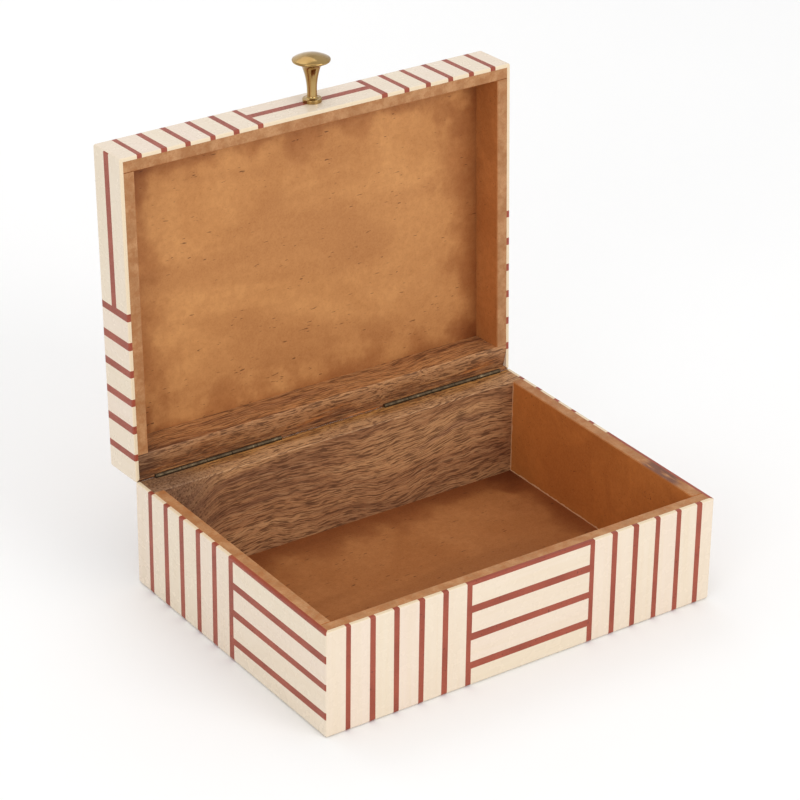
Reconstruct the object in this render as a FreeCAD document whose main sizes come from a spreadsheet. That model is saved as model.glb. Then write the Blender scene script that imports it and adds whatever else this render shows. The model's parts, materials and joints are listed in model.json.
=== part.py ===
import FreeCAD, Part
import math
import os
import Sketcher

# An inlaid wooden box, lid standing open on its two hinges.
#
# Frame: millimetres, +Z up, the front faces -Y and the hinges are at +Y. The origin is the centre
# of the underside. The lid's pieces are drawn closed on the base and then turned about the hinge
# axis by open_angle, which is where the rounded back edges of the walls meet and the lid stops.

DIMENSIONS = {
    # outside sizes, inlay included
    "box_length": 254.0,
    "box_depth": 190.5,
    "base_height": 63.5,
    "lid_height": 28.3,
    "rim_gap": 1.0,
    "open_angle": 92.2,
    # thicknesses, and the shape of the rims
    "skin": 2.2,
    "side_wall": 6.6,
    "back_wall": 14.4,
    "floor_board": 4.6,
    "lid_board": 5.4,
    "bevel_run": 11.0,
    "bevel_rise": 3.0,
    "eased_edge": 0.5,
    # rounding of the polished outside, which starts skin_lift above the table
    "corner_round": 1.5,
    "rim_round": 0.8,
    "stop_round": 1.75,
    "skin_lift": 0.3,
    # how far a cutting shape runs past what it cuts
    "overlap": 5.0,
    # inlay: cream strips with lines of red resin between them. A divider is the line where upright
    # strips meet level ones, a pitch is a strip and its line, and both are places along a face
    "narrow_line": 3.4,
    "wide_line": 4.4,
    "lid_line": 5.2,
    "rim_line": 1.9,
    "base_left_divider": -37.5,
    "base_right_divider": 43.4,
    "base_left_pitch": 15.2,
    "base_right_pitch": 14.7,
    "lid_left_divider": -39.5,
    "lid_right_divider": 41.4,
    "lid_left_pitch": 15.05,
    "lid_right_pitch": 14.7,
    "side_divider": 3.8,
    "side_pitch": 16.7,
    "level_first": 13.0,
    "level_pitch": 17.25,
    # how far a strip laid by hand strays, and how many degrees it leans
    "hand_slack": 0.28,
    "hand_tilt": 0.22,
    # hinges: the axis lies hinge_inset inside the back
    "hinge_inset": 1.4,
    "hinge_length": 82.0,
    "left_hinge": -74.0,
    "right_hinge": 78.5,
    "leaf_width": 9.0,
    "leaf_thickness": 0.8,
    "barrel_radius": 1.2,
    "barrel_clearance": 0.35,
    "knuckle_clearance": 0.15,
    "hinge_pin_radius": 0.55,
    "running_fit": 0.05,
    # hinge screws
    "wood_screw_radius": 1.2,
    "wood_screw_length": 8.5,
    "wood_screw_tip": 2.5,
    # knob and the screw that holds it from inside the lid
    "knob_across": 2.6,
    "knob_rise": -0.4,
    "knob_length": 27.6,
    "knob_head_radius": 10.7,
    "knob_neck_radius": 2.85,
    "knob_foot_radius": 5.4,
    "knob_foot_height": 2.2,
    "knob_screw_radius": 1.9,
    "knob_screw_reach": 9.0,
    "knob_screw_head_radius": 3.6,
    "knob_screw_head_height": 2.2,
    "knob_screw_slot": 1.0,
}

STRIPS_IN_MODULE = 6
BASE_KNUCKLES = (0, 2, 4)
LID_KNUCKLES = (1, 3)
KNUCKLES = len(BASE_KNUCKLES) + len(LID_KNUCKLES)
SCREWS_PER_LEAF = 3

# Places worked out from the sheet, as expressions
OUTER_X = "(Dims.box_length / 2)"
OUTER_Y = "(Dims.box_depth / 2)"
CORE_X = f"({OUTER_X} - Dims.skin)"
CORE_Y = f"({OUTER_Y} - Dims.skin)"
ROOM_X = f"({CORE_X} - Dims.side_wall)"
ROOM_FRONT = f"(Dims.side_wall - {CORE_Y})"
ROOM_BACK = f"({CORE_Y} - Dims.back_wall)"
LID_RIM = "(Dims.base_height + Dims.rim_gap)"
LID_TOP = f"({LID_RIM} + Dims.lid_height)"
LID_CORE_TOP = f"({LID_TOP} - Dims.skin)"
LID_CEILING = f"({LID_CORE_TOP} - Dims.lid_board)"
LID_MIDDLE = f"({LID_RIM} + Dims.lid_height / 2)"
HINGE_Y = f"({OUTER_Y} - Dims.hinge_inset)"
HINGE_Z = "(Dims.base_height + Dims.rim_gap / 2)"
LEAF_BACK = f"({HINGE_Y} + Dims.barrel_radius)"
LEAF_FRONT = f"({LEAF_BACK} - Dims.leaf_thickness)"
# along the back rims the wood is bare, for the hinges, as far as the inlay's nearest level line
BASE_BAND = "(Dims.level_first + 2 * Dims.level_pitch + Dims.wide_line / 2)"
LID_BAND = f"({LID_MIDDLE} - Dims.lid_line / 2)"
KNOB_Z = f"({LID_MIDDLE} + Dims.knob_rise)"
LID_OPEN = (
    "placement(vector(0; 0; 0); rotation(vector(1; 0; 0); -Dims.open_angle); "
    f"vector(0; {HINGE_Y}; {HINGE_Z}))"
)

DOC = FreeCAD.newDocument("InlaidBox")
PIECES = []


# ---------------------------------------------------------------- helpers


def make_sheet():
    sheet = DOC.addObject("Spreadsheet::Sheet", "Dims")
    for row, (name, value) in enumerate(DIMENSIONS.items(), start=1):
        sheet.set(f"A{row}", name)
        sheet.set(f"B{row}", str(value))
        sheet.setAlias(f"B{row}", name)
    DOC.recompute()


def bind(made, properties):
    for path, expression in properties.items():
        made.setExpression(path, expression)
    return made


def block(name, low, high):
    """A box between two corners, each given as three expressions."""
    made = DOC.addObject("Part::Box", name)
    for size, place, start, end in zip(("Length", "Width", "Height"), "xyz", low, high):
        made.setExpression(size, f"({end}) - ({start})")
        made.setExpression(f"Placement.Base.{place}", start)
    return made


def turned(axis, angle):
    return FreeCAD.Rotation(FreeCAD.Vector(*axis), angle)


def place_at(made, place, rotation):
    """Puts a shape at three expressions, turned by a fixed rotation."""
    made.Placement = FreeCAD.Placement(FreeCAD.Vector(), rotation)
    return bind(made, {f"Placement.Base.{axis}": text for axis, text in zip("xyz", place)})


def cylinder(name, radius, length, place, rotation):
    made = DOC.addObject("Part::Cylinder", name)
    bind(made, {"Radius": radius, "Height": length})
    return place_at(made, place, rotation)


def cone(name, start_radius, end_radius, length, place, rotation):
    made = DOC.addObject("Part::Cone", name)
    bind(made, {"Radius1": start_radius, "Radius2": end_radius, "Height": length})
    return place_at(made, place, rotation)


def fuse(name, shapes):
    made = DOC.addObject("Part::MultiFuse", name)
    made.Shapes = shapes
    made.Refine = True
    return made


def compound(name, shapes):
    made = DOC.addObject("Part::Compound", name)
    made.Links = shapes
    return made


def combine(kind, name, base, tool):
    """kind is Part::Cut or Part::Common."""
    made = DOC.addObject(kind, name)
    made.Base = base
    made.Tool = tool
    made.Refine = True
    return made


def cut(name, base, tool):
    return combine("Part::Cut", name, base, tool)


def size_of(expression):
    """The value, in millimetres, of an expression."""
    return float(DOC.Dims.evalExpression(expression.replace("Dims.", "")))


def near(value, expression):
    """Whether a length equals an expression, but for rounding."""
    return abs(value - size_of(expression)) < 0.01


def ease(name, source, kind, sizes):
    """Fillets or chamfers: sizes holds pairs of a size and a test of an edge's middle point."""
    DOC.recompute()
    edges = []
    for size, wanted in sizes:
        for index, edge in enumerate(source.Shape.Edges, start=1):
            middle = edge.valueAt((edge.FirstParameter + edge.LastParameter) / 2)
            if wanted(middle):
                edges.append((index, size_of(size), size_of(size)))
    made = DOC.addObject(kind, name)
    made.Base = source
    made.Edges = edges
    return made


def outline(body, plane, corners, arcs=None):
    """A closed sketch on one of the body's planes through corners of two expressions each.

    arcs maps the index of a side, which starts at that corner, to the point half way round its arc.
    """
    sketch = body.newObject("Sketcher::SketchObject", f"{body.Name}_outline")
    origin_plane = next(f for f in body.Origin.OriginFeatures if f.Role == plane)
    sketch.AttachmentSupport = (origin_plane, [""])
    sketch.MapMode = "FlatFace"
    arcs = arcs or {}
    points = [FreeCAD.Vector(size_of(a), size_of(b), 0) for a, b in corners]
    ends = []
    for index, start in enumerate(points):
        finish = points[(index + 1) % len(points)]
        if index in arcs:
            middle = FreeCAD.Vector(*[size_of(text) for text in arcs[index]], 0)
            # a sketch keeps every arc running anticlockwise
            anticlockwise = (middle - start).cross(finish - middle).z > 0
            first, last = (start, finish) if anticlockwise else (finish, start)
            geometry = sketch.addGeometry(Part.Arc(first, middle, last))
            ends.append((geometry, 1, 2) if anticlockwise else (geometry, 2, 1))
            radius = sketch.Geometry[geometry].Radius
            number = sketch.addConstraint(Sketcher.Constraint("Radius", geometry, radius))
            sketch.renameConstraint(number, f"bend_{index}")
        else:
            geometry = sketch.addGeometry(Part.LineSegment(start, finish))
            ends.append((geometry, 1, 2))
    for index, (geometry, _, finish_end) in enumerate(ends):
        following, start_end, _ = ends[(index + 1) % len(ends)]
        sketch.addConstraint(Sketcher.Constraint("Coincident", geometry, finish_end, following, start_end))
    for index, (geometry, start_end, _) in enumerate(ends):
        for kind, text, value in zip(("DistanceX", "DistanceY"), corners[index], points[index]):
            number = sketch.addConstraint(Sketcher.Constraint(kind, geometry, start_end, value))
            sketch.renameConstraint(number, f"{kind}_{index}")
            sketch.setExpression(f"Constraints.{kind}_{index}", text)
    return sketch


def piece(label, source):
    """Registers a finished piece of the base, named as its file."""
    made = compound(label, [source])
    PIECES.append(made)
    return made


def lid_piece(label, source):
    """Registers a finished piece of the lid, turned open about the hinge axis."""
    made = piece(label, source)
    made.setExpression("Placement", LID_OPEN)
    return made


# ---------------------------------------------------------------- boards and walls


def make_boards():
    """The flat boards: the floor of the base and the top of the lid."""
    left_front = (f"-{CORE_X}", f"-{CORE_Y}")
    right_back = (CORE_X, CORE_Y)
    piece("base_floor", block("floor_block", [*left_front, "0"], [*right_back, "Dims.floor_board"]))
    lid_board = block("panel_block", [*left_front, LID_CEILING], [*right_back, LID_CORE_TOP])
    lid_piece("lid_panel", lid_board)


def make_front_wall(body, low, high, rim):
    """The front wall, its inner rim edge eased."""
    wall = block(f"{body}_front_block", [f"-{CORE_X}", f"-{CORE_Y}", low], [CORE_X, ROOM_FRONT, high])
    return ease(
        f"{body}_front_eased",
        wall,
        "Part::Chamfer",
        [("Dims.eased_edge", lambda p: near(p.z, rim) and near(p.y, ROOM_FRONT))],
    )


def make_side_walls(register, body, low, high, rim):
    """The two side walls, held between the front and the back."""
    for side, start, end in (("left", f"-{CORE_X}", f"-{ROOM_X}"), ("right", ROOM_X, CORE_X)):
        wall = block(f"{body}_{side}_block", [start, ROOM_FRONT, low], [end, ROOM_BACK, high])
        eased = ease(
            f"{body}_{side}_eased",
            wall,
            "Part::Chamfer",
            [("Dims.eased_edge", lambda p: near(p.z, rim) and near(abs(p.x), ROOM_X))],
        )
        register(f"{body}_{side}_wall", eased)


def make_back_wall(register, body, section, band, removed):
    """The thick plank at the back: a cross-section drawn out along X, less what the hinges take.

    band is the part of it that comes out through the inlay, level with it.
    """
    plank = DOC.addObject("PartDesign::Body", f"{body}_back_plank")
    pad = plank.newObject("PartDesign::Pad", f"{body}_back_pad")
    pad.Profile = outline(plank, "YZ_Plane", section)
    pad.SideType = "Symmetric"
    pad.setExpression("Length", f"2 * {CORE_X}")
    whole = fuse(f"{body}_back_whole", [plank, band])
    register(f"{body}_back_wall", cut(f"{body}_back_cut", whole, removed))


BASE_BACK_SECTION = (
    (ROOM_BACK, "Dims.floor_board"),
    (CORE_Y, "Dims.floor_board"),
    (CORE_Y, "Dims.base_height"),
    (f"({ROOM_BACK} + Dims.eased_edge)", "Dims.base_height"),
    (ROOM_BACK, "(Dims.base_height - Dims.eased_edge)"),
)

# the lid's rim falls away towards the hinges, and rises again at the band
LID_BACK_SECTION = (
    (ROOM_BACK, LID_CEILING),
    (ROOM_BACK, f"({LID_RIM} + Dims.eased_edge)"),
    (f"({ROOM_BACK} + Dims.eased_edge)", LID_RIM),
    (f"({CORE_Y} - Dims.bevel_run)", LID_RIM),
    (CORE_Y, f"({LID_RIM} + Dims.bevel_rise)"),
    (CORE_Y, LID_CEILING),
)


def make_base_walls(outside, hinge_room):
    rim = "Dims.base_height"
    piece("base_front_wall", make_front_wall("base", "Dims.floor_board", rim, rim))
    make_side_walls(piece, "base", "Dims.floor_board", rim, rim)
    band = face_panel("base_band", outside, OUTER_X, OUTER_Y, (BASE_BAND, rim), BACK_TURN)
    make_back_wall(piece, "base", BASE_BACK_SECTION, band, hinge_room)


def make_lid_walls(outside, hinge_room, knob_screw):
    front = make_front_wall("lid", LID_RIM, LID_CEILING, LID_RIM)
    lid_piece("lid_front_wall", cut("lid_front_drilled", front, knob_screw))
    make_side_walls(lid_piece, "lid", LID_RIM, LID_CEILING, LID_RIM)
    band = face_panel("lid_band", outside, OUTER_X, OUTER_Y, (LID_RIM, LID_BAND), BACK_TURN)
    make_back_wall(lid_piece, "lid", LID_BACK_SECTION, band, hinge_room)


# ---------------------------------------------------------------- outside faces

FRONT_TURN = turned((0, 0, 1), 0)
RIGHT_TURN = turned((0, 0, 1), 90)
BACK_TURN = turned((0, 0, 1), 180)
LEFT_TURN = turned((0, 0, 1), 270)
TOP_TURN = turned((1, 0, 0), -90)


def polished_outside(body, low, high, rim):
    """The outside of the base or lid: a box with rounded edges, most of all where the lid stops."""
    solid = block(f"{body}_outside", [f"-{OUTER_X}", f"-{OUTER_Y}", low], [OUTER_X, OUTER_Y, high])
    return ease(
        f"{body}_polished",
        solid,
        "Part::Fillet",
        [
            ("Dims.corner_round", lambda p: not near(p.z, rim)),
            ("Dims.stop_round", lambda p: near(p.z, rim) and near(p.y, OUTER_Y)),
            ("Dims.rim_round", lambda p: near(p.z, rim) and not near(p.y, OUTER_Y)),
        ],
    )


def face_panel(name, outside, half_width, distance, ends, turn, mitred_ends=(False, False)):
    """One face of the skin, drawn as a front face at -distance and turned into place.

    Its sides are mitred to the next faces, and so are its low and high ends where mitred_ends says.
    """
    wedge = DOC.addObject("Part::Wedge", f"{name}_wedge")
    low, high = ends
    low_mitre, high_mitre = ("Dims.skin" if mitred else "0" for mitred in mitred_ends)
    bind(
        wedge,
        {
            "Xmin": f"-{half_width}",
            "Xmax": half_width,
            "X2min": f"Dims.skin - {half_width}",
            "X2max": f"{half_width} - Dims.skin",
            "Ymin": f"-{distance}",
            "Ymax": f"Dims.skin - {distance}",
            "Zmin": low,
            "Zmax": high,
            "Z2min": f"{low} + {low_mitre}",
            "Z2max": f"{high} - {high_mitre}",
        },
    )
    wedge.Placement = FreeCAD.Placement(FreeCAD.Vector(), turn)
    return combine("Part::Common", f"{name}_panel", wedge, outside)


# ---------------------------------------------------------------- inlay


def astray(number, phase):
    """How far a hand-laid edge strays: within hand_slack, and different for every edge."""
    return f"Dims.hand_slack * sin({number} * 137.5 + {phase})"


def lay_strips(name, places, distance, turn):
    """Plates between (left, right, low, high) edges, drawn through the front face and turned."""
    plates = []
    phases = (20, 160, 80, 240)
    for number, edges in enumerate(places):
        left, right, low, high = (f"{edge} + {astray(number, phase)}" for edge, phase in zip(edges, phases))
        plate = block(
            f"{name}_strip_{number + 1}",
            [left, f"-{distance} - Dims.overlap", low],
            [right, f"Dims.overlap - {distance}", high],
        )
        tilt = size_of("Dims.hand_tilt") * math.sin(math.radians(97 * number))
        plate.Placement.Rotation = turned((0, 1, 0), tilt)
        plates.append(plate)
    laid = compound(f"{name}_laid", plates)
    laid.Placement = FreeCAD.Placement(FreeCAD.Vector(), turn)
    return laid


def inlay(register, name, panel, places, distance, turn):
    """Splits a face's panel into its strips and the resin that fills the lines between them."""
    laid = lay_strips(name, places, distance, turn)
    register(f"{name}_strips", combine("Part::Common", f"{name}_cream", panel, laid))
    register(f"{name}_resin", cut(f"{name}_red", panel, laid))


def edges_from(divider, way, pitch, line):
    """Edges of the strips laid from a divider one way along the face; the last runs off its end."""
    edges = []
    for number in range(STRIPS_IN_MODULE):
        near_edge = f"{divider} + {way} * ({number} * {pitch} + {line} / 2)"
        far_edge = f"{divider} + {way} * ({number + 1} * {pitch} - {line} / 2)"
        if number == STRIPS_IN_MODULE - 1:
            far_edge = f"{divider} + {way} * ({number + 1} * {pitch} + Dims.overlap)"
        edges.append((near_edge, far_edge) if way > 0 else (far_edge, near_edge))
    return edges


def edges_between(left_divider, right_divider, line):
    """Edges of strips that share the room between two dividers equally."""
    pitch = f"({right_divider} - {left_divider}) / {STRIPS_IN_MODULE}"
    edges = []
    for number in range(STRIPS_IN_MODULE):
        start, end = (f"{left_divider} + {count} * {pitch}" for count in (number, number + 1))
        edges.append((f"{start} + {line} / 2", f"{end} - {line} / 2"))
    return edges


def edges_round(lines, low, high, line):
    """Edges of strips that fill low to high but for lines centred at the given places."""
    starts = [low] + [f"{centre} + {line} / 2" for centre in lines]
    ends = [f"{centre} - {line} / 2" for centre in lines] + [high]
    return list(zip(starts, ends))


def upright(edges, low, high):
    return [(left, right, low, high) for left, right in edges]


def level(edges, left, right):
    return [(left, right, low, high) for low, high in edges]


NARROW_HALF = "Dims.narrow_line / 2"
WIDE_HALF = "Dims.wide_line / 2"
PAST_X = f"({OUTER_X} + Dims.overlap)"
PAST_Y = f"({OUTER_Y} + Dims.overlap)"


def front_places(left, right, pitches, rows, low, high):
    """Upright strips, level ones between the dividers, then upright ones again."""
    left_pitch, right_pitch = pitches
    return [
        *upright(edges_from(left, -1, left_pitch, "Dims.narrow_line"), low, high),
        *level(rows, f"{left} + {NARROW_HALF}", f"{right} - {NARROW_HALF}"),
        *upright(edges_from(right, 1, right_pitch, "Dims.narrow_line"), low, high),
    ]


def back_places(left, right, rows, low, high):
    """Level strips, upright ones between the dividers, then level ones again."""
    return [
        *level(rows, f"-{PAST_X}", f"-{right} - {NARROW_HALF}"),
        *upright(edges_between(f"-{right}", f"-{left}", "Dims.narrow_line"), low, high),
        *level(rows, f"-{left} + {NARROW_HALF}", PAST_X),
    ]


def right_places(rows, low, high):
    """Level strips on the front half, upright ones on the hinge half."""
    return [
        *level(rows, f"-{PAST_Y}", f"-Dims.side_divider - {WIDE_HALF}"),
        *upright(edges_from("-Dims.side_divider", 1, "Dims.side_pitch", "Dims.wide_line"), low, high),
    ]


def left_places(rows, low, high):
    """The right face's pattern seen in a mirror."""
    return [
        *upright(edges_from("Dims.side_divider", -1, "Dims.side_pitch", "Dims.wide_line"), low, high),
        *level(rows, f"Dims.side_divider + {WIDE_HALF}", PAST_Y),
    ]


def top_places(left, right, pitches):
    """Two rows of three modules, each laid across its neighbours."""
    left_pitch, right_pitch = pitches
    line = "Dims.wide_line"
    front_end, front_start = f"-{PAST_Y}", f"-{WIDE_HALF}"
    back_start, back_end = WIDE_HALF, PAST_Y
    front_rows = edges_from("0", -1, "Dims.side_pitch", line)
    back_rows = edges_from("0", 1, "Dims.side_pitch", line)
    return [
        *level(front_rows, f"-{PAST_X}", f"{left} - {WIDE_HALF}"),
        *upright(edges_between(left, right, line), front_end, front_start),
        *level(front_rows, f"{right} + {WIDE_HALF}", PAST_X),
        *upright(edges_from(left, -1, left_pitch, line), back_start, back_end),
        *level(back_rows, f"{left} + {WIDE_HALF}", f"{right} - {WIDE_HALF}"),
        *upright(edges_from(right, 1, right_pitch, line), back_start, back_end),
    ]


def inlay_walls(register, body, outside, ends, back_ends, mitred_ends, places, front_hole=None):
    """The four wall faces of the base or lid. front_hole is what goes through the front one."""
    for face, half_width, distance, turn in (
        ("front", OUTER_X, OUTER_Y, FRONT_TURN),
        ("right", OUTER_Y, OUTER_X, RIGHT_TURN),
        ("back", OUTER_X, OUTER_Y, BACK_TURN),
        ("left", OUTER_Y, OUTER_X, LEFT_TURN),
    ):
        name = f"{body}_{face}"
        face_ends = back_ends if face == "back" else ends
        panel = face_panel(name, outside, half_width, distance, face_ends, turn, mitred_ends)
        if face == "front" and front_hole:
            panel = cut(f"{name}_opened", panel, front_hole)
        inlay(register, name, panel, places[face], distance, turn)


def make_base_inlay(outside):
    low, high = "Dims.skin_lift", "Dims.base_height"
    past_low, past_high = f"{low} - Dims.overlap", f"{high} + Dims.overlap"
    left, right = "Dims.base_left_divider", "Dims.base_right_divider"
    lines = [f"Dims.level_first + {number} * Dims.level_pitch" for number in range(3)]
    rows = edges_round(lines, past_low, f"{high} - Dims.rim_line", "Dims.wide_line")
    pitches = ("Dims.base_left_pitch", "Dims.base_right_pitch")
    places = {
        "front": front_places(left, right, pitches, rows, past_low, past_high),
        "right": right_places(rows, past_low, past_high),
        "back": back_places(left, right, rows, past_low, past_high),
        "left": left_places(rows, past_low, past_high),
    }
    inlay_walls(piece, "base", outside, (low, high), (low, BASE_BAND), (False, False), places)


def make_lid_inlay(outside, knob_screw):
    low, high = LID_RIM, LID_TOP
    past_low, past_high = f"{low} - Dims.overlap", f"{high} + Dims.overlap"
    left, right = "Dims.lid_left_divider", "Dims.lid_right_divider"
    rows = edges_round([LID_MIDDLE], past_low, past_high, "Dims.lid_line")
    pitches = ("Dims.lid_left_pitch", "Dims.lid_right_pitch")
    places = {
        "front": front_places(left, right, pitches, rows, past_low, past_high),
        "right": right_places(rows, past_low, past_high),
        "back": back_places(left, right, rows, past_low, past_high),
        "left": left_places(rows, past_low, past_high),
    }
    mitred_ends = (False, True)
    inlay_walls(lid_piece, "lid", outside, (low, high), (LID_BAND, high), mitred_ends, places, knob_screw)

    top_ends = (f"-{OUTER_Y}", OUTER_Y)
    panel = face_panel("lid_top", outside, OUTER_X, LID_TOP, top_ends, TOP_TURN, (True, True))
    inlay(lid_piece, "lid_top", panel, top_places(left, right, pitches), LID_TOP, TOP_TURN)


# ---------------------------------------------------------------- hinges

ALONG_X = turned((0, 1, 0), 90)
FORWARDS = turned((1, 0, 0), 90)
BACKWARDS = turned((1, 0, 0), -90)


def along_barrel(name, radius, start, end):
    """A cylinder on the hinge axis between two places along X."""
    return cylinder(name, radius, f"{end} - {start}", [start, HINGE_Y, HINGE_Z], ALONG_X)


def knuckle_ends(centre, number):
    left = f"({centre} - Dims.hinge_length / 2)"
    return tuple(f"({left} + {n} * Dims.hinge_length / {KNUCKLES})" for n in (number, number + 1))


def make_leaf(name, centre, heights, own, others, bore_radius, screws):
    """A flat leaf between two heights and its own knuckles, with room for the other leaf's."""
    low, high = heights
    left, right = (f"({centre} {sign} Dims.hinge_length / 2)" for sign in "-+")
    plate = block(f"{name}_plate", [left, LEAF_FRONT, low], [right, LEAF_BACK, high])
    knuckles = []
    for number in own:
        start, end = knuckle_ends(centre, number)
        knuckles.append(along_barrel(f"{name}_knuckle_{number}", "Dims.barrel_radius", start, end))
    gaps = []
    reach = "(Dims.barrel_radius + Dims.barrel_clearance)"
    for number in others:
        start, end = knuckle_ends(centre, number)
        gaps.append(
            block(
                f"{name}_gap_{number}",
                [f"{start} - Dims.knuckle_clearance", f"{HINGE_Y} - {reach}", f"{HINGE_Z} - {reach}"],
                [f"{end} + Dims.knuckle_clearance", f"{HINGE_Y} + {reach}", f"{HINGE_Z} + {reach}"],
            )
        )
    bore = along_barrel(f"{name}_bore", bore_radius, left, right)
    whole = fuse(f"{name}_whole", [plate, *knuckles])
    return cut(f"{name}_finished", whole, fuse(f"{name}_openings", [*gaps, bore, *screws]))


def wood_screw(name, across, height):
    """A countersunk screw pointing forwards, its head level with the back of the leaf."""
    radius, head_height = "Dims.wood_screw_radius", "Dims.leaf_thickness"
    tip_start = "(Dims.wood_screw_length - Dims.wood_screw_tip)"
    place = [across, LEAF_BACK, height]
    head = cone(f"{name}_head", f"{radius} + {head_height}", radius, head_height, place, FORWARDS)
    shank = cylinder(f"{name}_shank", radius, tip_start, place, FORWARDS)
    tip_place = [across, f"{LEAF_BACK} - {tip_start}", height]
    tip = cone(f"{name}_tip", radius, "0", "Dims.wood_screw_tip", tip_place, FORWARDS)
    return fuse(name, [head, shank, tip])


def leaf_screws(name, centre, height):
    """A row of screws spread evenly along a leaf."""
    screws = []
    for number in range(SCREWS_PER_LEAF):
        share = number - (SCREWS_PER_LEAF - 1) / 2
        across = f"{centre} + {share} * Dims.hinge_length / {SCREWS_PER_LEAF}"
        screws.append(wood_screw(f"{name}_screw_{number + 1}", across, height))
    return screws


def leaf_step(name, centre, low, high):
    """The step cut in a wall's back that a leaf is let into."""
    half_length = "(Dims.hinge_length / 2 + Dims.knuckle_clearance)"
    start = [f"{centre} - {half_length}", LEAF_FRONT, low]
    return block(name, start, [f"{centre} + {half_length}", f"{OUTER_Y} + Dims.overlap", high])


def make_hinges():
    """Two butt hinges let into the bare wood of the back walls.

    Gives back what they take out of the base's wall and out of the lid's.
    """
    base_screws, lid_screws, base_steps, lid_steps, grooves = [], [], [], [], []
    pin_radius = "Dims.hinge_pin_radius"
    loose_radius = f"{pin_radius} + Dims.running_fit"
    groove_radius = "Dims.barrel_radius + Dims.barrel_clearance"
    screw_drop = "0.6 * Dims.leaf_width"
    base_low = f"({HINGE_Z} - Dims.leaf_width)"
    lid_high = f"({HINGE_Z} + Dims.leaf_width)"
    for side, centre in (("left", "Dims.left_hinge"), ("right", "Dims.right_hinge")):
        name = f"hinge_{side}"
        ends = [f"({centre} {sign} Dims.hinge_length / 2)" for sign in "-+"]
        piece(f"{name}_pin", along_barrel(f"{name}_rod", pin_radius, *ends))

        screws = leaf_screws(f"{name}_base", centre, f"{HINGE_Z} - {screw_drop}")
        heights = (base_low, HINGE_Z)
        leaf = make_leaf(f"{name}_base", centre, heights, BASE_KNUCKLES, LID_KNUCKLES, pin_radius, screws)
        piece(f"{name}_base_leaf", leaf)
        base_screws += screws
        base_steps.append(leaf_step(f"{name}_base_step", centre, base_low, LID_RIM))

        screws = leaf_screws(f"{name}_lid", centre, f"{HINGE_Z} + {screw_drop}")
        heights = (HINGE_Z, lid_high)
        leaf = make_leaf(f"{name}_lid", centre, heights, LID_KNUCKLES, BASE_KNUCKLES, loose_radius, screws)
        lid_piece(f"{name}_lid_leaf", leaf)
        lid_screws += screws
        lid_steps.append(leaf_step(f"{name}_lid_step", centre, "Dims.base_height", lid_high))

        groove_ends = [f"({end} {sign} Dims.knuckle_clearance)" for end, sign in zip(ends, "-+")]
        grooves.append(along_barrel(f"{name}_groove", groove_radius, *groove_ends))
    piece("hinge_base_screws", compound("base_screw_set", base_screws))
    lid_piece("hinge_lid_screws", compound("lid_screw_set", lid_screws))
    base_room = fuse("base_hinge_room", [*base_steps, *grooves, *base_screws])
    lid_room = fuse("lid_hinge_room", [*lid_steps, *grooves, *lid_screws])
    return base_room, lid_room


# ---------------------------------------------------------------- knob


def make_knob_screw():
    """A machine screw with a slotted pan head, put through the lid's front wall from inside."""
    place = ["Dims.knob_across", ROOM_FRONT, KNOB_Z]
    head_height = "Dims.knob_screw_head_height"
    head_top = f"({ROOM_FRONT} + {head_height})"
    blank = cylinder("knob_screw_blank", "Dims.knob_screw_head_radius", head_height, place, BACKWARDS)
    top_rounding = (f"{head_height} / 2", lambda p: near(p.y, head_top))
    pan = ease("knob_screw_pan", blank, "Part::Fillet", [top_rounding])
    shank_length = f"{ROOM_FRONT} + {OUTER_Y} + Dims.knob_screw_reach"
    shank = cylinder("knob_screw_shank", "Dims.knob_screw_radius", shank_length, place, FORWARDS)
    past_head = "2 * Dims.knob_screw_head_radius"
    slot_left, slot_right = (f"Dims.knob_across {sign} {past_head}" for sign in "-+")
    slot_low, slot_high = (f"{KNOB_Z} {sign} Dims.knob_screw_slot / 2" for sign in "-+")
    slot = block(
        "knob_screw_slot",
        [slot_left, f"{head_top} - Dims.knob_screw_slot", slot_low],
        [slot_right, f"{head_top} + Dims.overlap", slot_high],
    )
    return cut("knob_screw_slotted", fuse("knob_screw_whole", [pan, shank]), slot)


def make_knob(screw):
    """A turned knob: a foot ring, a stem that flares like a trumpet and a shallow domed head."""
    foot, foot_height = "Dims.knob_foot_radius", "Dims.knob_foot_height"
    neck, head, length = "Dims.knob_neck_radius", "Dims.knob_head_radius", "Dims.knob_length"
    rim = f"(0.96 * {head})"
    dome_rise = f"(0.1 * {length})"
    dome_radius = f"(({rim} ^ 2 + {dome_rise} ^ 2) / (2 * {dome_rise}))"
    corners = (
        ("0", "0"),
        (foot, "0"),
        (foot, f"0.8 * {foot_height}"),
        (f"0.93 * {foot}", foot_height),
        (f"1.45 * {neck}", foot_height),
        (neck, f"1.7 * {foot_height}"),
        (f"1.75 * {neck}", f"0.71 * {length}"),
        (f"0.93 * {head}", f"0.84 * {length}"),
        (rim, f"{length} - {dome_rise}"),
        ("0", length),
    )
    arcs = {
        2: (f"0.98 * {foot}", f"0.94 * {foot_height}"),
        4: (f"1.12 * {neck}", f"1.2 * {foot_height}"),
        5: (f"1.12 * {neck}", f"0.44 * {length}"),
        6: (f"0.64 * {head}", f"0.805 * {length}"),
        7: (head, f"0.87 * {length}"),
        8: (f"{rim} / 2", f"{length} - {dome_radius} + sqrt({dome_radius} ^ 2 - {rim} ^ 2 / 4)"),
    }
    body = DOC.addObject("PartDesign::Body", "knob_turned")
    turning = body.newObject("PartDesign::Revolution", "knob_turning")
    sketch = outline(body, "XY_Plane", corners, arcs)
    turning.Profile = sketch
    turning.ReferenceAxis = (sketch, ["V_Axis"])
    turning.Angle = 360
    place_at(body, ["Dims.knob_across", f"-{OUTER_Y}", KNOB_Z], turned((0, 0, 1), 180))
    lid_piece("knob", cut("knob_drilled", body, screw))
    lid_piece("knob_screw", screw)


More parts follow.
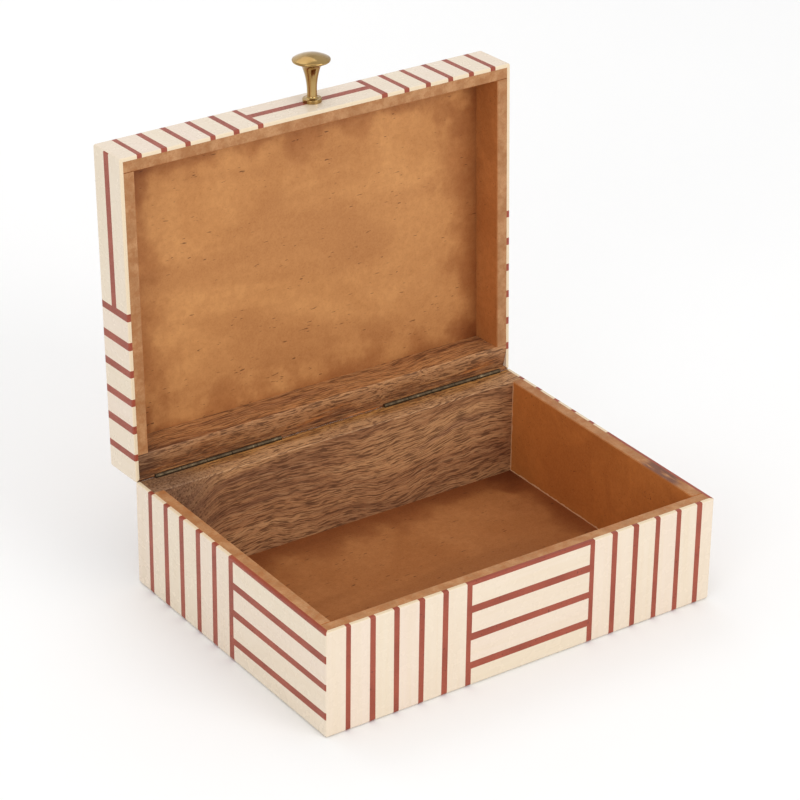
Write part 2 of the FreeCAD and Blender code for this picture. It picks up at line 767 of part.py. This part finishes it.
# ---------------------------------------------------------------- the whole box


def main():
    os.makedirs("parts", exist_ok=True)
    make_sheet()
    base_outside = polished_outside("base", "Dims.skin_lift", "Dims.base_height", "Dims.base_height")
    lid_outside = polished_outside("lid", LID_RIM, LID_TOP, LID_RIM)
    base_room, lid_room = make_hinges()
    knob_screw = make_knob_screw()
    make_boards()
    make_base_walls(base_outside, base_room)
    make_lid_walls(lid_outside, lid_room, knob_screw)
    make_base_inlay(base_outside)
    make_lid_inlay(lid_outside, knob_screw)
    make_knob(knob_screw)

    DOC.recompute()
    faulty = [made.Label for made in DOC.Objects if {"Invalid", "Error"} & set(made.State)]
    faulty += [made.Label for made in PIECES if made.Shape.isNull() or not made.Shape.isValid()]
    if faulty:
        raise RuntimeError(f"these shapes are faulty: {faulty}")
    for made in PIECES:
        made.Shape.exportStep(f"parts/{made.Label}.step")
    print(f"{len(PIECES)} pieces written")


main()
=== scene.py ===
import json
import math

import bmesh
import bpy
import numpy as np
from mathutils import Matrix, Vector


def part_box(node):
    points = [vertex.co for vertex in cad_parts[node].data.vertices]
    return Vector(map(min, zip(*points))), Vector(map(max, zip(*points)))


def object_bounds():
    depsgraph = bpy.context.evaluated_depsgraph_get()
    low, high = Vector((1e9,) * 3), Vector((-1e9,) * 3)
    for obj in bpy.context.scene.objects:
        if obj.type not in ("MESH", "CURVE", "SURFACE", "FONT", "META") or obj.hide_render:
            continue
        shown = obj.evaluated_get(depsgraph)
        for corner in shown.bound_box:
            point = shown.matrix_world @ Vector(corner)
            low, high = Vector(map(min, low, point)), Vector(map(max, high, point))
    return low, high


# The looks of the inlaid wooden box: a material for every CAD piece, a pale floor, studio light and a
# camera. Lengths are in metres, in the CAD's own frame: +Z up, the front faces -Y, the lid open at +Y.

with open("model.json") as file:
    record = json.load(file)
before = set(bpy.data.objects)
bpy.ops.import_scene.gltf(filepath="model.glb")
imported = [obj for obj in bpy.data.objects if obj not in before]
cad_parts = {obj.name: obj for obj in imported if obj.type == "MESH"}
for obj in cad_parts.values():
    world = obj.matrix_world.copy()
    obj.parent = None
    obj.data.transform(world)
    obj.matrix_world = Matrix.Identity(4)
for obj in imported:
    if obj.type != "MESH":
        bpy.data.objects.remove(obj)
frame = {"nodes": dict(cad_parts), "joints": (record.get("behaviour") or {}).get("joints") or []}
cad_low, cad_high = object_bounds()

# ---------------------------------------------------------------- places taken from the frame

lid_joint = frame["joints"][0]
# turns a direction on the shut lid into the same direction on the lid at rest, where it stands open
LID_TURN = Matrix.Rotation(
    math.radians(-lid_joint["range_deg"][0]), 3, Vector(lid_joint["axis"])
)
UP = Vector((0, 0, 1))
BASE_RIM = UP
LID_RIM = LID_TURN @ -UP
ROOM_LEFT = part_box("base_left_wall")[1].x
ROOM_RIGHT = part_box("base_right_wall")[0].x
ROOM_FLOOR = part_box("base_floor")[1].z
ROOM_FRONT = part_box("base_front_wall")[1].y
ROOM_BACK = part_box("base_back_wall")[0].y
ROOM_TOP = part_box("base_back_wall")[1].z


# ---------------------------------------------------------------- building materials


def paint(red, green, blue):
    """A colour for a shader, from the values out of 255 that a screen would show it with."""
    return tuple(((value / 255 + 0.055) / 1.055) ** 2.4 for value in (red, green, blue))


class Surface:
    """A material being built. Its methods add nodes and give back their output sockets."""

    def __init__(self, name):
        self.material = bpy.data.materials.new(name)
        self.material.use_nodes = True
        self.tree = self.material.node_tree
        self.shader = self.tree.nodes["Principled BSDF"]
        coordinates = self.tree.nodes.new("ShaderNodeTexCoord")
        self.place = coordinates.outputs["Object"]
        self.normal = coordinates.outputs["Normal"]

    def put(self, socket, value):
        """Links an input socket to another node's output, or sets it to a number or colour."""
        if isinstance(value, bpy.types.NodeSocket):
            self.tree.links.new(value, socket)
        else:
            socket.default_value = value

    def set(self, **values):
        """Puts values to the shader's own sockets: underscores stand for spaces in their names."""
        for name, value in values.items():
            self.put(self.shader.inputs[name.replace("_", " ")], value)

    def stretch(self, vector, scale, shift=(0, 0, 0), turn=(0, 0, 0)):
        node = self.tree.nodes.new("ShaderNodeMapping")
        self.put(node.inputs["Vector"], vector)
        node.inputs["Scale"].default_value = scale
        node.inputs["Location"].default_value = shift
        node.inputs["Rotation"].default_value = turn
        return node.outputs["Vector"]

    def noise(self, vector, scale=1.0, detail=3.0, roughness=0.5, distortion=0.0):
        node = self.tree.nodes.new("ShaderNodeTexNoise")
        self.put(node.inputs["Vector"], vector)
        node.inputs["Scale"].default_value = scale
        node.inputs["Detail"].default_value = detail
        node.inputs["Roughness"].default_value = roughness
        node.inputs["Distortion"].default_value = distortion
        return node.outputs["Fac"]

    def math(self, operation, *values):
        node = self.tree.nodes.new("ShaderNodeMath")
        node.operation = operation
        for socket, value in zip(node.inputs, values):
            self.put(socket, value)
        return node.outputs["Value"]

    def between(self, value, low, high, to_low=0.0, to_high=1.0):
        """A value carried smoothly from one range to another, and held at its ends."""
        node = self.tree.nodes.new("ShaderNodeMapRange")
        node.interpolation_type = "SMOOTHSTEP"
        for name, number in (
            ("Value", value),
            ("From Min", low),
            ("From Max", high),
            ("To Min", to_low),
            ("To Max", to_high),
        ):
            self.put(node.inputs[name], number)
        return node.outputs["Result"]

    def ramp(self, value, stops):
        node = self.tree.nodes.new("ShaderNodeValToRGB")
        self.put(node.inputs["Fac"], value)
        while len(node.color_ramp.elements) < len(stops):
            node.color_ramp.elements.new(1.0)
        for element, (position, colour) in zip(node.color_ramp.elements, stops):
            element.position = position
            element.color = (*colour, 1.0)
        return node.outputs["Color"]

    def mix(self, share, first, second, way="MIX"):
        node = self.tree.nodes.new("ShaderNodeMix")
        node.data_type = "RGBA"
        node.blend_type = way
        node.clamp_factor = True
        # a Mix node has sockets for every kind of data: these are its share and its colours
        sockets = (node.inputs[0], node.inputs[6], node.inputs[7])
        for socket, value in zip(sockets, (share, first, second)):
            self.put(socket, (*value, 1.0) if isinstance(value, tuple) else value)
        return node.outputs[2]

    def parts(self, vector):
        node = self.tree.nodes.new("ShaderNodeSeparateXYZ")
        self.put(node.inputs[0], vector)
        return node.outputs

    def vector(self, x, y, z):
        node = self.tree.nodes.new("ShaderNodeCombineXYZ")
        for socket, value in zip(node.inputs, (x, y, z)):
            self.put(socket, value)
        return node.outputs["Vector"]

    def attribute(self, name):
        node = self.tree.nodes.new("ShaderNodeAttribute")
        node.attribute_name = name
        return node.outputs

    def facing(self, direction, least, most):
        """1 where the surface faces a direction, falling to 0 where it turns away."""
        node = self.tree.nodes.new("ShaderNodeVectorMath")
        node.operation = "DOT_PRODUCT"
        self.put(node.inputs[0], self.normal)
        node.inputs[1].default_value = direction
        return self.between(node.outputs["Value"], least, most)

    def bump(self, height, distance, strength, under=None):
        """Small relief, laid over the relief of another bump if one is given."""
        node = self.tree.nodes.new("ShaderNodeBump")
        self.put(node.inputs["Height"], height)
        node.inputs["Distance"].default_value = distance
        node.inputs["Strength"].default_value = strength
        if under is not None:
            self.put(node.inputs["Normal"], under)
        return node.outputs["Normal"]


def dress(names, material):
    """Gives CAD pieces a material."""
    for name in names:
        mesh = frame["nodes"][name].data
        mesh.materials.clear()
        mesh.materials.append(material)


# ---------------------------------------------------------------- fibreboard


def fibreboard(name, stain, rim, seed, shade=None, rim_shade=None):
    """Stained fibreboard: cloudy stain, fine fibres and dark flecks, paler and barer on its rim.

    stain is its dark, middle and light tones, and rim is the direction that the rim faces. shade and
    rim_shade each take the tone so far and change it, on the stained faces and on the bare rim.
    """
    bare_tones = (paint(170, 122, 80), paint(190, 142, 98))
    made = Surface(name)
    place = made.stretch(made.place, (1, 1, 1), shift=(seed, seed, seed))
    clouds = made.noise(place, scale=16, detail=4, distortion=0.8)
    swept = made.stretch(place, (7, 26, 26), turn=(0.25, 0.5, 0.3))
    sweeps = made.noise(swept, detail=4, distortion=0.7)
    weave = made.noise(place, scale=260, detail=3, roughness=0.6)
    fibres = made.noise(place, scale=900, detail=4, roughness=0.7)

    dark, middle, light = stain
    tone = made.mix(made.between(clouds, 0.3, 0.7), middle, light)
    tone = made.mix(made.between(sweeps, 0.48, 0.7, 0.0, 0.55), tone, dark)
    tone = made.mix(made.between(weave, 0.35, 0.7, 0.3, 0.0), tone, dark)
    tone = made.mix(made.between(fibres, 0.3, 0.7, 0.22, 0.0), tone, light)
    tone = made.mix(made.between(fibres, 0.5, 0.8, 0.0, 0.35), tone, dark)

    # short dark fibres, scattered thinly and lying every way
    scattered = made.noise(place, scale=90, detail=1)
    turns = ((0.3, 0.9, 0.5), (1.1, 2.3, 1.9))
    lying = [made.stretch(place, (170, 900, 900), turn=turn) for turn in turns]
    spots = [made.between(made.noise(way, detail=1), 0.71, 0.77) for way in lying]
    flecks = made.math("MAXIMUM", *spots)
    flecks = made.math("MULTIPLY", flecks, made.between(scattered, 0.46, 0.6, 0.0, 0.75))
    tone = made.mix(flecks, tone, paint(78, 40, 20))
    if shade is not None:
        tone = shade(made, tone)

    patches = made.noise(place, scale=110, detail=3)
    bare = made.mix(made.between(patches, 0.35, 0.65), *bare_tones)
    bare = made.mix(made.between(weave, 0.35, 0.6, 0.4, 0.0), bare, dark)
    bare = made.mix(made.between(fibres, 0.35, 0.75, 0.0, 0.35), bare, dark)
    if rim_shade is not None:
        bare = rim_shade(made, bare)
    made.set(
        Base_Color=made.mix(made.facing(rim, 0.6, 0.8), tone, bare),
        Roughness=made.between(fibres, 0.3, 0.7, 0.54, 0.7),
        Specular_IOR_Level=0.28,
        Normal=made.bump(fibres, distance=0.00015, strength=0.45),
    )
    return made.material


# ---------------------------------------------------------------- mango wood


def mango_wood(name, seed, lines_across, shade, curl=0.0):
    """Open-pored wood, its lines running along X and rippling.

    lines_across is the direction that the lines are stacked in on the wall's broad face. shade
    takes the tone so far and changes it. curl is how hard the lines bend down at the left, where the
    grain breaks into specks.
    """
    curl_width = 0.04
    bend_height, ripple_height = 0.034, 0.0036
    dark_band, pale_band = paint(104, 66, 44), paint(210, 168, 122)
    pore, shine = paint(78, 46, 27), paint(208, 164, 120)
    made = Surface(name)
    x, y, z = made.parts(made.place)
    bends = made.noise(made.stretch(made.place, (12, 6, 6), shift=(seed, 0, 0)), detail=1)
    ripples = made.noise(made.stretch(made.place, (75, 60, 60), shift=(0, seed, 0)), detail=2)
    warp = made.math("MULTIPLY", made.math("SUBTRACT", bends, 0.5), bend_height)
    warp = made.math("MULTIPLY_ADD", made.math("SUBTRACT", ripples, 0.5), ripple_height, warp)
    beyond = made.math("MAXIMUM", made.math("SUBTRACT", ROOM_LEFT + curl_width, x), 0.0)
    warp = made.math("MULTIPLY_ADD", made.math("MULTIPLY", beyond, beyond), curl, warp)
    lifted = made.vector(
        x,
        made.math("MULTIPLY_ADD", warp, lines_across.y, y),
        made.math("MULTIPLY_ADD", warp, lines_across.z, z),
    )

    broad = made.noise(made.stretch(lifted, (7, 70, 70), shift=(seed, 0, 0)), detail=3, distortion=0.3)
    bands = made.noise(made.stretch(lifted, (26, 340, 340), shift=(seed, 0, 0)), detail=2)
    dashes = made.noise(made.stretch(lifted, (105, 1180, 1180), shift=(seed, 0, 0)), detail=2)
    fine = made.noise(made.stretch(lifted, (300, 2600, 2600)), detail=2, roughness=0.6)

    tone = made.ramp(
        broad,
        (
            (0.3, paint(136, 93, 64)),
            (0.45, paint(178, 129, 87)),
            (0.58, paint(202, 153, 105)),
            (0.72, paint(158, 114, 84)),
        ),
    )
    tone = made.mix(made.between(bands, 0.3, 0.5, 0.5, 0.0), tone, dark_band)
    tone = made.mix(made.between(bands, 0.55, 0.75, 0.0, 0.4), tone, pale_band)
    tone = shade(made, tone)
    if curl:
        start, end = ROOM_LEFT + 0.2 * curl_width, ROOM_LEFT + 1.15 * curl_width
        speckled = made.between(x, start, end, 0.95, 0.0)
        specks = made.noise(made.place, scale=760, detail=3, roughness=0.65)
        dashes = made.math("MULTIPLY_ADD", made.math("SUBTRACT", specks, dashes), speckled, dashes)
        tone = made.mix(made.math("MULTIPLY", speckled, 0.8), tone, paint(122, 94, 74))
    tone = made.mix(made.between(dashes, 0.38, 0.51, 0.72, 0.0), tone, pore)
    tone = made.mix(made.between(dashes, 0.54, 0.68, 0.0, 0.3), tone, shine)
    tone = made.mix(made.between(fine, 0.35, 0.55, 0.4, 0.0), tone, paint(96, 58, 35))

    pores_bump = made.bump(dashes, distance=0.0003, strength=0.6)
    made.set(
        Base_Color=tone,
        Roughness=made.between(dashes, 0.3, 0.7, 0.7, 0.52),
        Specular_IOR_Level=0.3,
        Normal=made.bump(fine, distance=0.0001, strength=0.4, under=pores_bump),
    )
    return made.material


def base_rim_shade(made, tone):
    """The base's rim: an ochre streak towards the hinges, paler towards the room."""
    stray = 0.016
    low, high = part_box("base_back_wall")
    y = made.parts(made.place)[1]
    on_rim = made.facing(BASE_RIM, 0.5, 0.8)
    wander = made.noise(made.stretch(made.place, (22, 60, 60)), detail=3)
    place = made.math("MULTIPLY_ADD", made.math("SUBTRACT", wander, 0.5), stray, y)
    streaks = made.noise(made.stretch(made.place, (24, 520, 520)), detail=3)
    # the pale part fades out, and the ochre fades in, about the middle of the rim
    middle = (low.y + high.y) / 2
    by_room = made.between(place, middle - 0.004, middle + 0.002, 0.7, 0.0)
    by_hinges = made.between(place, middle - 0.003, middle + 0.003, 0.0, 0.9)
    pale = made.math("MULTIPLY", on_rim, by_room)
    tone = made.mix(pale, tone, paint(204, 156, 110))
    ochre = made.math("MULTIPLY", on_rim, by_hinges)
    tone = made.mix(ochre, tone, paint(192, 134, 66))
    brown = made.math("MULTIPLY", ochre, made.between(streaks, 0.42, 0.6, 0.7, 0.0))
    return made.mix(brown, tone, paint(122, 74, 40))


def lid_tone_and_painted_rim_light(made, tone):
    """Warmer wood; its rim has painted light at the crease, and painted shade streaked with orange
    towards the hinges.
    """
    # the rim is flat for about this far from the lid's recess, then falls away at a crease
    flat_part = 0.004
    # how far past the crease the painted light ends, and the painted shade starts and ends
    painted_light_end, painted_shade_start, painted_shade_end = 0.006, 0.004, 0.009
    stray = 0.024
    tone = made.mix(1.0, tone, paint(245, 228, 208), way="MULTIPLY")
    low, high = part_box("lid_back_wall")
    coordinates = made.parts(made.place)
    x, z = coordinates[0], coordinates[2]
    on_rim = made.facing(LID_RIM, 0.5, 0.8)
    wander = made.noise(made.stretch(made.place, (26, 70, 70), shift=(4, 0, 0)), detail=3)
    place = made.math("MULTIPLY_ADD", made.math("SUBTRACT", wander, 0.5), stray, z)
    streaks = made.noise(made.stretch(made.place, (20, 420, 420), shift=(2, 0, 0)), detail=3)
    crease = high.z - flat_part
    crease_light = made.between(place, crease - painted_light_end, crease, 0.0, 0.5)
    by_hinges = made.between(place, crease - painted_shade_end, crease - painted_shade_start, 0.6, 0.0)
    # painted light: the flat part of the rim, by the crease, made paler
    pale = made.math("MULTIPLY", on_rim, crease_light)
    tone = made.mix(pale, tone, paint(196, 148, 104))
    # painted shade: the rim made darker where it falls away towards the hinges
    lowest = made.math("MULTIPLY", on_rim, by_hinges)
    tone = made.mix(lowest, tone, paint(120, 74, 48))
    # orange streaks of grain, laid only over the painted shade
    orange = made.math("MULTIPLY", lowest, made.between(streaks, 0.5, 0.64, 0.0, 1.4))
    tone = made.mix(orange, tone, paint(200, 124, 62))
    # painted shade: darker at the left end, in the corner by the lid's left wall
    left_corner_shade = made.between(x, low.x + 0.004, low.x + 0.022, 0.75, 0.0)
    return made.mix(left_corner_shade, tone, paint(92, 64, 48))


# ---------------------------------------------------------------- inlay


def strips_of(mesh):
    """Where a mesh's vertices are, and which of them make up each separate solid.

    Vertices that share a place belong together, though the mesh keeps a copy for each face.
    """
    places = np.array([vertex.co for vertex in mesh.vertices])
    _, joined = np.unique(np.round(places, 6), axis=0, return_inverse=True)
    joined = joined.ravel()
    ends = joined[np.array([edge.vertices[:] for edge in mesh.edges])]
    # every vertex takes the lowest label among its neighbours, until no label changes
    label = np.arange(joined.max() + 1)
    while True:
        lowest = np.minimum(label[ends[:, 0]], label[ends[:, 1]])
        before = label.copy()
        np.minimum.at(label, ends[:, 0], lowest)
        np.minimum.at(label, ends[:, 1], lowest)
        if (label == before).all():
            break
    whose = label[joined]
    return places, [np.flatnonzero(whose == one) for one in np.unique(whose)]


def mark_strips(name, turn, seed):
    """Writes each point's place along and across its own strip, and a number for each strip.

    turn takes the axes of the strips on the shut box to their axes at rest.
    """
    mesh = frame["nodes"][name].data
    places, strips = strips_of(mesh)
    axes = [turn @ Vector(axis) for axis in ((1, 0, 0), (0, 1, 0), (0, 0, 1))]
    marks = np.zeros((len(places), 3))
    dice = np.random.default_rng(seed)
    for strip in strips:
        measured = [places[strip] @ np.array(axis) for axis in axes]
        along, across, _ = sorted(measured, key=np.ptp, reverse=True)
        marks[strip, 0] = along
        marks[strip, 1] = across
        marks[strip, 2] = dice.uniform(0, 1)
    layer = mesh.attributes.new("strip_place", "FLOAT_VECTOR", "POINT")
    layer.data.foreach_set("vector", marks.astype(np.float32).ravel())


def cream_strip(name, rim):
    """Polished cream plate: faint streaks along each strip, each strip a slightly different cream."""
    made = Surface(name)
    along, across, number = made.parts(made.attribute("strip_place")["Vector"])
    strip = made.vector(along, across, made.math("MULTIPLY", number, 40.0))
    streaks = made.noise(made.stretch(strip, (9, 420, 1)), detail=3, roughness=0.6)
    veils = made.noise(made.stretch(strip, (30, 90, 1)))

    tone = made.mix(number, paint(229, 214, 191), paint(230, 212, 195))
    tone = made.mix(made.between(streaks, 0.35, 0.7, 0.0, 0.35), tone, paint(224, 206, 178))
    tone = made.mix(made.between(veils, 0.45, 0.7, 0.0, 0.2), tone, paint(236, 223, 205))
    tone = made.mix(made.facing(rim, 0.5, 0.9), tone, paint(230, 211, 180))
    polish = made.noise(made.place, scale=160, detail=2)
    made.set(
        Base_Color=tone,
        Roughness=made.between(polish, 0.3, 0.7, 0.22, 0.3),
        Specular_IOR_Level=0.35,
        Coat_Weight=0.1,
        Coat_Roughness=0.12,
        Normal=made.bump(polish, distance=0.0003, strength=0.06),
    )
    return made.material


def red_resin(name):
    """Brick-red resin, a little cloudy, with the odd pinhole."""
    made = Surface(name)
    clouds = made.noise(made.place, scale=60, detail=4)
    grains = made.noise(made.place, scale=1500, detail=3)
    tone = made.mix(made.between(clouds, 0.3, 0.7), paint(150, 72, 54), paint(164, 82, 62))
    tone = made.mix(made.between(grains, 0.35, 0.7, 0.0, 0.4), tone, paint(136, 64, 48))
    pinholes = made.math("GREATER_THAN", made.noise(made.place, scale=700, detail=0), 0.79)
    tone = made.mix(made.math("MULTIPLY", pinholes, 0.6), tone, paint(96, 44, 34))
    height = made.math("SUBTRACT", clouds, pinholes)
    made.set(
        Base_Color=tone,
        Roughness=made.between(grains, 0.3, 0.7, 0.3, 0.45),
        Specular_IOR_Level=0.25,
        Normal=made.bump(height, distance=0.0002, strength=0.2),
    )
    return made.material


# ---------------------------------------------------------------- metal


def dark_steel():
    """Antiqued steel: brownish and dull, with paler rubbed patches."""
    made = Surface("antique_steel")
    rubbed = made.noise(made.place, scale=260, detail=5, roughness=0.65)
    scratches = made.noise(made.stretch(made.place, (90, 2600, 2600)), detail=2)
    stops = ((0.35, paint(76, 62, 46)), (0.6, paint(108, 92, 70)), (0.75, paint(160, 144, 114)))
    made.set(
        Base_Color=made.ramp(rubbed, stops),
        Metallic=0.85,
        Roughness=made.between(rubbed, 0.3, 0.7, 0.6, 0.4),
        Normal=made.bump(scratches, distance=0.0001, strength=0.3),
    )
    return made.material


def plain_steel():
    """Plain turned steel for the screws."""
    made = Surface("plain_steel")
    turned = made.noise(made.place, scale=1200, detail=3)
    tone = made.mix(made.between(turned, 0.3, 0.7), paint(173, 173, 175), paint(200, 200, 198))
    made.set(Base_Color=tone, Metallic=1.0, Roughness=made.between(turned, 0.3, 0.7, 0.26, 0.42))
    return made.material


def polished_brass():
    """Brass turned and polished, with faint smudges and hairline turning marks round its axis."""
    made = Surface("polished_brass")
    low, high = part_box("knob")
    middle = (low + high) / 2
    smudges = made.noise(made.place, scale=110, detail=4)
    turning = made.noise(made.stretch(made.place, (60, 60, 3800), shift=-middle), detail=2)
    tone = made.mix(made.between(smudges, 0.35, 0.65), paint(178, 148, 96), paint(164, 132, 80))
    made.set(
        Base_Color=tone,
        Metallic=1.0,
        Roughness=made.between(smudges, 0.3, 0.7, 0.1, 0.2),
        Normal=made.bump(turning, distance=0.00003, strength=0.25),
    )
    return made.material


# ---------------------------------------------------------------- dressing the box


def painted_shade_at_edges(low, high, axes, reach):
    """Painted shade in the corners and along the edges: a shade for a board between two corners of its
    box.
    """
    edge_shade_tone = paint(198, 168, 144)

    def shade(made, tone):
        coordinates = made.parts(made.place)
        wander = made.noise(made.place, scale=45, detail=3)
        reach_here = made.between(wander, 0.3, 0.7, 0.5 * reach, 1.5 * reach)
        for axis in axes:
            for edge, way in ((low[axis], 1), (high[axis], -1)):
                inside = made.math("MULTIPLY", made.math("SUBTRACT", coordinates[axis], edge), way)
                # painted shade: the tone made darker the nearer it is to each edge
                near = made.between(inside, 0.0, reach_here, 0.9, 0.0)
                tone = made.mix(near, tone, edge_shade_tone, way="MULTIPLY")
        return tone

    return shade


def seams(made, tone):
    """Bare fibre that shows as a bright line where a side wall meets the floor and the back."""
    coordinates = made.parts(made.place)
    wander = made.noise(made.place, scale=300, detail=2)
    width = made.between(wander, 0.3, 0.7, 0.0006, 0.0012)
    above = made.math("SUBTRACT", coordinates[2], ROOM_FLOOR)
    inside = made.math("SUBTRACT", ROOM_BACK, coordinates[1])
    for distance, strength in ((above, 0.9), (inside, 0.7)):
        on_seam = made.math("MULTIPLY", made.math("LESS_THAN", distance, width), strength)
        tone = made.mix(on_seam, tone, paint(230, 184, 140))
    return tone


def smear(made, tone):
    """A dark smear of glue and stain along the right wall's rim, near its front end."""
    y = made.parts(made.place)[1]
    start, end = ROOM_FRONT + 0.01, ROOM_FRONT + 0.05
    middle, half_length = (start + end) / 2, (end - start) / 2
    away = made.math("ABSOLUTE", made.math("SUBTRACT", y, middle))
    streaks = made.noise(made.stretch(made.place, (420, 60, 60)), detail=3)
    strength = made.math(
        "MULTIPLY",
        made.between(away, 0.5 * half_length, half_length, 0.9, 0.0),
        made.between(streaks, 0.3, 0.5),
    )
    return made.mix(strength, tone, paint(112, 72, 60))


def dress_boards():
    """The base's walls are more orange than its floor and the lid's panel."""
    amber = (paint(166, 96, 42), paint(188, 114, 52), paint(206, 130, 64))
    orange = (paint(146, 88, 44), paint(168, 106, 56), paint(186, 124, 72))
    russet = (paint(152, 90, 42), paint(176, 108, 55), paint(194, 125, 68))
    brown = (paint(166, 107, 59), paint(193, 134, 78), paint(210, 151, 92))

    low = Vector((ROOM_LEFT, ROOM_FRONT, ROOM_FLOOR))
    high = Vector((ROOM_RIGHT, ROOM_BACK, ROOM_TOP))
    # painted shade: the floor made darker towards the walls round it
    room_edge_shade = painted_shade_at_edges(low, high, (0, 1), reach=0.03)
    dress(["base_floor"], fibreboard("floor_board", orange, -UP, 1, room_edge_shade))
    for seed, name in enumerate(("base_front_wall", "base_left_wall", "base_right_wall"), start=2):
        shade = None if name == "base_front_wall" else seams
        rim_shade = smear if name == "base_right_wall" else None
        dress([name], fibreboard(name + "_board", amber, BASE_RIM, seed, shade, rim_shade))

    panel_low, panel_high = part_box("lid_panel")
    # painted shade: the panel made darker towards its edges, in the lid's corners
    panel_edge_shade = painted_shade_at_edges(panel_low, panel_high, (0, 2), reach=0.04)
    dress(["lid_panel"], fibreboard("panel_board", brown, LID_TURN @ UP, 6, panel_edge_shade))
    for seed, name in enumerate(("lid_front_wall", "lid_left_wall", "lid_right_wall"), start=7):
        dress([name], fibreboard(name + "_board", russet, LID_RIM, seed))


def dress_wood():
    """The grain curls only in the base's back wall."""
    dress(["base_back_wall"], mango_wood("base_mango", 3, UP, base_rim_shade, curl=22.0))
    dress(["lid_back_wall"], mango_wood("lid_mango", 11, LID_TURN @ UP, lid_tone_and_painted_rim_light))


def dress_inlay():
    """A cream for each body's strips, which differ in where their rims face, and one red resin."""
    bodies = (("base", BASE_RIM, Matrix.Identity(3)), ("lid", LID_RIM, LID_TURN))
    resin = red_resin("brick_resin")
    for body, rim, turn in bodies:
        cream = cream_strip(f"{body}_cream", rim)
        faces = [name for name in frame["nodes"] if name.startswith(body) and name.endswith("_strips")]
        for seed, name in enumerate(sorted(faces)):
            mark_strips(name, turn, seed)
        dress(faces, cream)
        dress([name.replace("_strips", "_resin") for name in faces], resin)


def dress_metal():
    """Dark steel for the hinges' leaves and pins, plain steel for every screw, brass for the knob."""
    hinge_pieces = [name for name in frame["nodes"] if name.startswith(("hinge_left", "hinge_right"))]
    dress(hinge_pieces, dark_steel())
    dress(["hinge_base_screws", "hinge_lid_screws", "knob_screw"], plain_steel())
    dress(["knob"], polished_brass())


# ---------------------------------------------------------------- floor, light and camera


def make_floor():
    """A wide pale floor, rising behind the box in a gentle curve."""
    width, front, back, rise_radius, wall_top = 6.0, -3.0, 1.6, 0.8, 2.0
    profile = [(front, 0.0), (back, 0.0)]
    steps = 16
    for step in range(1, steps + 1):
        angle = math.pi / 2 * step / steps
        profile.append((back + rise_radius * math.sin(angle), rise_radius * (1 - math.cos(angle))))
    profile.append((back + rise_radius, wall_top))
    shape = bmesh.new()
    rows = [[shape.verts.new((x, y, z)) for y, z in profile] for x in (-width / 2, width / 2)]
    for number in range(len(profile) - 1):
        shape.faces.new((rows[0][number], rows[1][number], rows[1][number + 1], rows[0][number + 1]))
    mesh = bpy.data.meshes.new("studio_floor")
    shape.to_mesh(mesh)
    shape.free()
    for face in mesh.polygons:
        face.use_smooth = True
    floor = bpy.data.objects.new("studio_floor", mesh)
    bpy.context.scene.collection.objects.link(floor)
    darkest, palest = (0.93, 0.93, 0.93), (0.95, 0.95, 0.95)
    made = Surface("pale_floor")
    clouds = made.noise(made.place, scale=3, detail=2)
    made.set(Base_Color=made.mix(clouds, darkest, palest), Roughness=0.9)
    mesh.materials.append(made.material)


def make_light(name, place, aim, size, power, colour=(1.0, 1.0, 1.0)):
    """A square soft box at a place, turned to face an aim, with its power in watts."""
    lamp = bpy.data.lights.new(name, "AREA")
    lamp.shape = "SQUARE"
    lamp.size = size
    lamp.energy = power
    lamp.color = colour
    light = bpy.data.objects.new(name, lamp)
    light.location = place
    light.rotation_mode = "QUATERNION"
    light.rotation_quaternion = (Vector(aim) - Vector(place)).to_track_quat("-Z", "Y")
    bpy.context.scene.collection.objects.link(light)


def make_lights():
    """Four soft lights and a white sky."""
    middle = (cad_low + cad_high) / 2
    warm = (1.0, 0.985, 0.96)
    make_light("key", (0.7, -2.1, 1.25), middle, size=1.4, power=16.5, colour=warm)
    make_light("fill", (-1.9, -1.2, 0.9), middle, size=1.2, power=8.5)
    make_light("top", (-0.2, -0.2, 2.2), middle, size=1.2, power=4.0)
    make_light("backdrop", (0.0, 1.5, 1.9), (0.0, 1.5, 0.0), size=1.6, power=8.0)
    world = bpy.data.worlds.new("studio")
    world.use_nodes = True
    sky = world.node_tree.nodes["Background"]
    sky.inputs["Color"].default_value = (1.0, 1.0, 1.0, 1.0)
    sky.inputs["Strength"].default_value = 0.75
    bpy.context.scene.world = world
    bpy.context.scene.view_settings.view_transform = "Standard"


def make_camera():
    """The photograph's view: from the front left and above, through a long lens."""
    azimuth, elevation, roll = math.radians(-34.87), math.radians(27.33), math.radians(0.69)
    distance = 1.692
    aim = Vector((-0.0115, 0.0077, 0.1190))
    data = bpy.data.cameras.new("camera")
    data.lens = 141.2
    data.sensor_width = 36.0
    camera = bpy.data.objects.new("camera", data)
    level = Vector((math.sin(azimuth), -math.cos(azimuth), 0))
    backwards = level * math.cos(elevation) + UP * math.sin(elevation)
    camera.location = aim + backwards * distance
    look = (-backwards).to_track_quat("-Z", "Y").to_matrix()
    camera.rotation_mode = "QUATERNION"
    camera.rotation_quaternion = (look @ Matrix.Rotation(roll, 3, "Z")).to_quaternion()
    bpy.context.scene.collection.objects.link(camera)
    bpy.context.scene.camera = camera


dress_boards()
dress_wood()
dress_inlay()
dress_metal()
make_floor()
make_lights()
make_camera()
